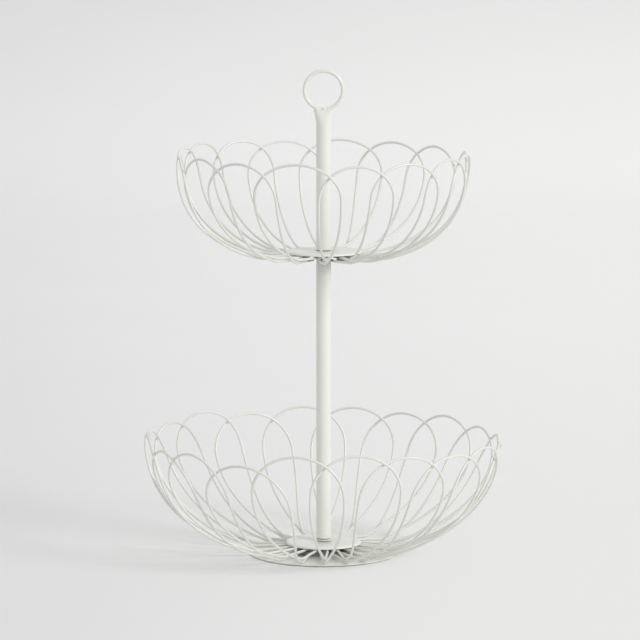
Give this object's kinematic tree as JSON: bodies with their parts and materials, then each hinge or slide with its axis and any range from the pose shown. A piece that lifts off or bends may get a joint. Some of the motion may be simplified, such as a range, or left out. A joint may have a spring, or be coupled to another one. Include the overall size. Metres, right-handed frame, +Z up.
{
  "type": "two-tier stand",
  "caption": "Tall stand with two open bowls of woven wire petals on a round post, with a ring handle on top.",
  "frame": {"origin": "on the table, under the middle of the post", "axes": "+Z up along the post; the ring handle lies in the XZ plane and faces -Y"},
  "size_m": [0.3072, 0.3073, 0.4164],
  "materials": {
    "powder_coat": "satin ivory powder coat",
    "zinc_plate": "zinc plated steel"
  },
  "bodies": {
    "root": {"lower_petal_01": "powder_coat", "lower_petal_02": "powder_coat", "lower_petal_03": "powder_coat", "lower_petal_04": "powder_coat", "lower_petal_05": "powder_coat", "lower_petal_06": "powder_coat", "lower_petal_07": "powder_coat", "lower_petal_08": "powder_coat", "lower_petal_09": "powder_coat", "lower_petal_10": "powder_coat", "lower_petal_11": "powder_coat", "lower_petal_12": "powder_coat", "lower_petal_13": "powder_coat", "lower_petal_14": "powder_coat", "lower_petal_15": "powder_coat", "lower_petal_16": "powder_coat", "lower_petal_17": "powder_coat", "lower_petal_18": "powder_coat", "lower_petal_19": "powder_coat", "lower_petal_20": "powder_coat", "upper_petal_01": "powder_coat", "upper_petal_02": "powder_coat", "upper_petal_03": "powder_coat", "upper_petal_04": "powder_coat", "upper_petal_05": "powder_coat", "upper_petal_06": "powder_coat", "upper_petal_07": "powder_coat", "upper_petal_08": "powder_coat", "upper_petal_09": "powder_coat", "upper_petal_10": "powder_coat", "upper_petal_11": "powder_coat", "upper_petal_12": "powder_coat", "upper_petal_13": "powder_coat", "upper_petal_14": "powder_coat", "upper_petal_15": "powder_coat", "upper_petal_16": "powder_coat", "ring_handle": "powder_coat", "upper_post": "powder_coat", "lower_post": "powder_coat", "post_collar": "powder_coat", "upper_disc": "powder_coat", "lower_disc": "powder_coat", "foot_plate": "powder_coat", "lower_post_base_plug": "zinc_plate", "lower_post_top_plug": "zinc_plate", "upper_post_plug": "zinc_plate", "joint_stud": "zinc_plate", "base_screw": "zinc_plate", "base_washer": "zinc_plate"}
  },
  "joints": []
}
